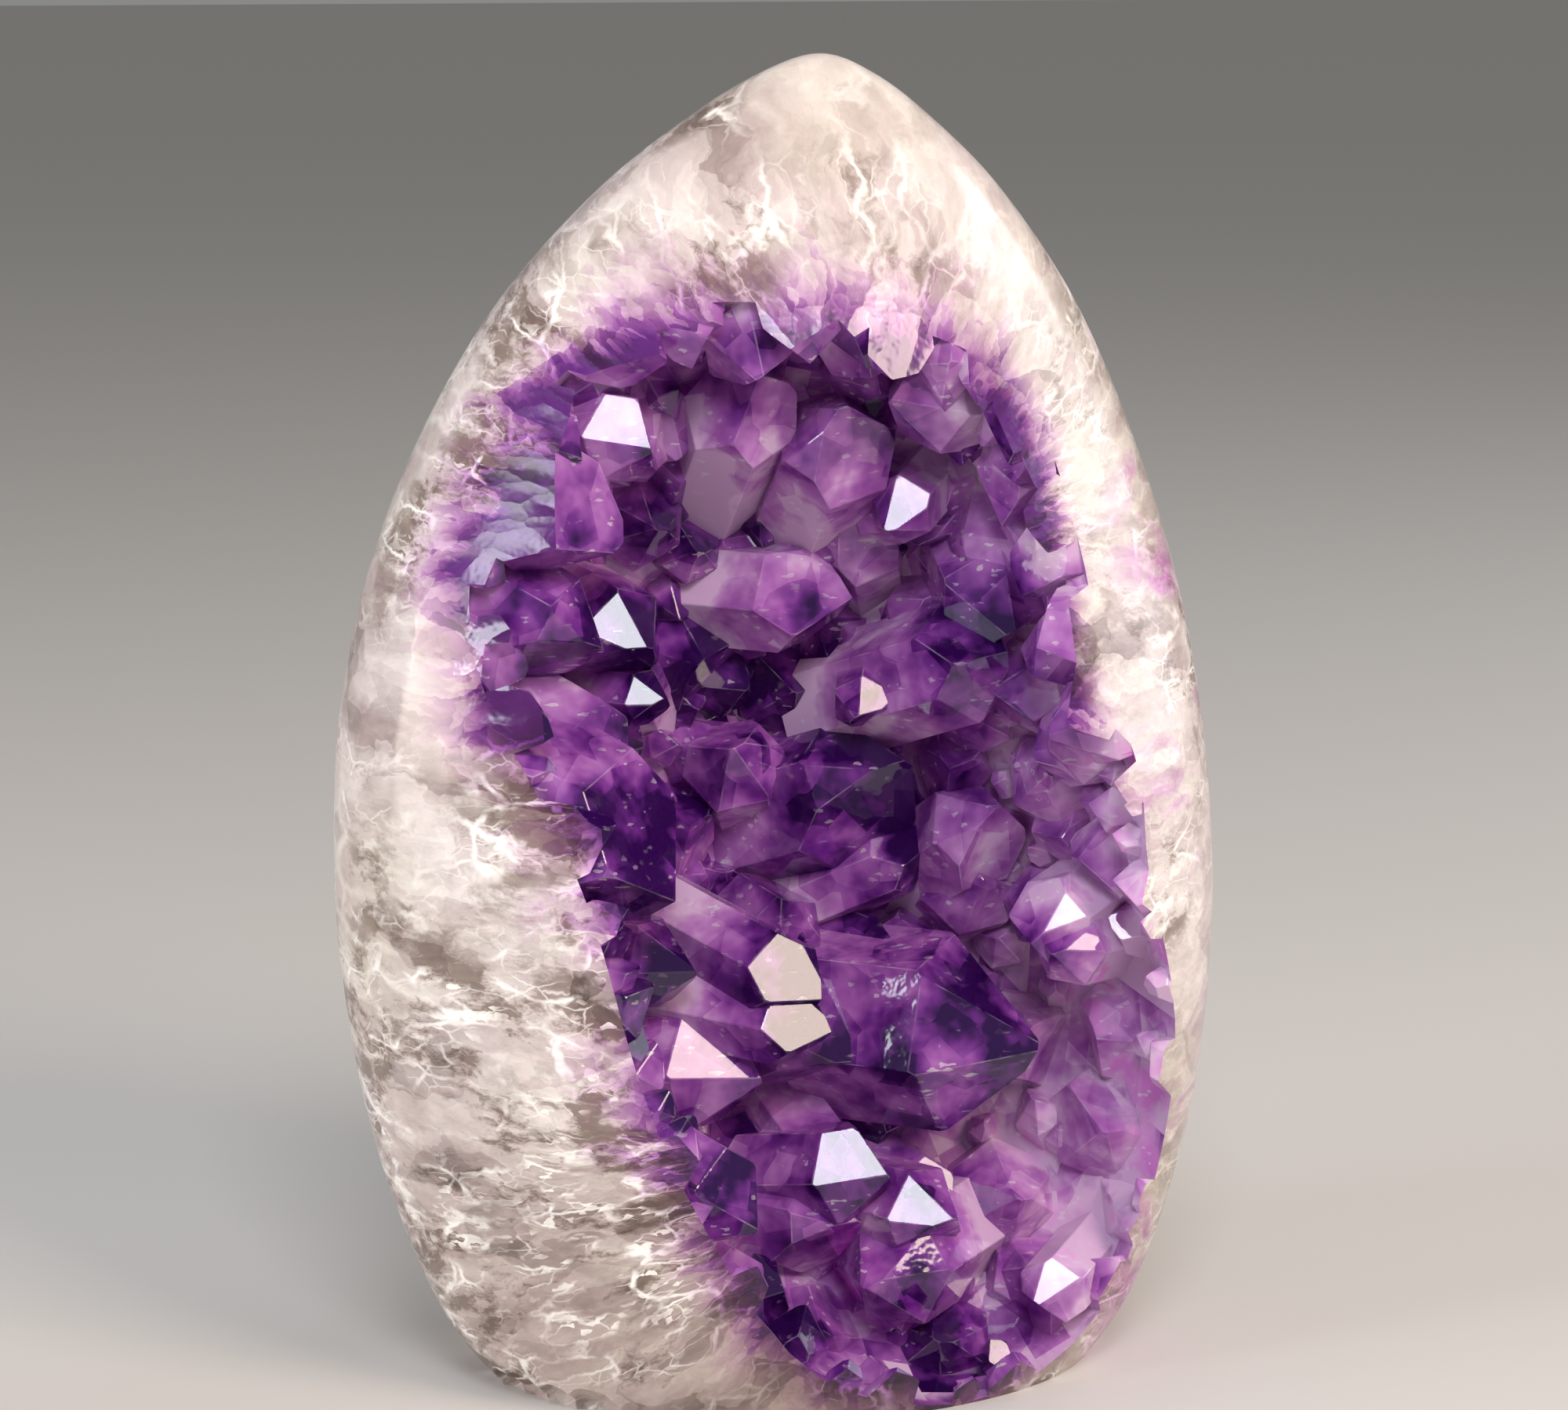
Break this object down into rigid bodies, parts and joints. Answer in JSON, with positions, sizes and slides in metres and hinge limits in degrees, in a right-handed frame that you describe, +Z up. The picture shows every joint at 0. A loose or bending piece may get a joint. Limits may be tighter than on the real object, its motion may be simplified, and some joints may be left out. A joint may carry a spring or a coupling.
{
  "type": "polished amethyst geode",
  "caption": "Egg-shaped quartz geode with a polished outside and a sawn flat foot, open at the front on a hollow lined with violet amethyst crystals",
  "frame": {"origin": "middle of the geode seen from above, on the sawn resting face", "axes": "+Z up, -Y to the front, out of the open hollow, +X to the right seen from the front"},
  "size_m": [0.0845, 0.0591, 0.1246],
  "materials": {
    "polished_quartz": "polished, milky and clear quartz with pale veils",
    "amethyst": "glossy natural crystal faces, clear violet"
  },
  "bodies": {
    "root": {"geode_body": "polished_quartz", "crystal_crust": "amethyst"}
  },
  "joints": []
}
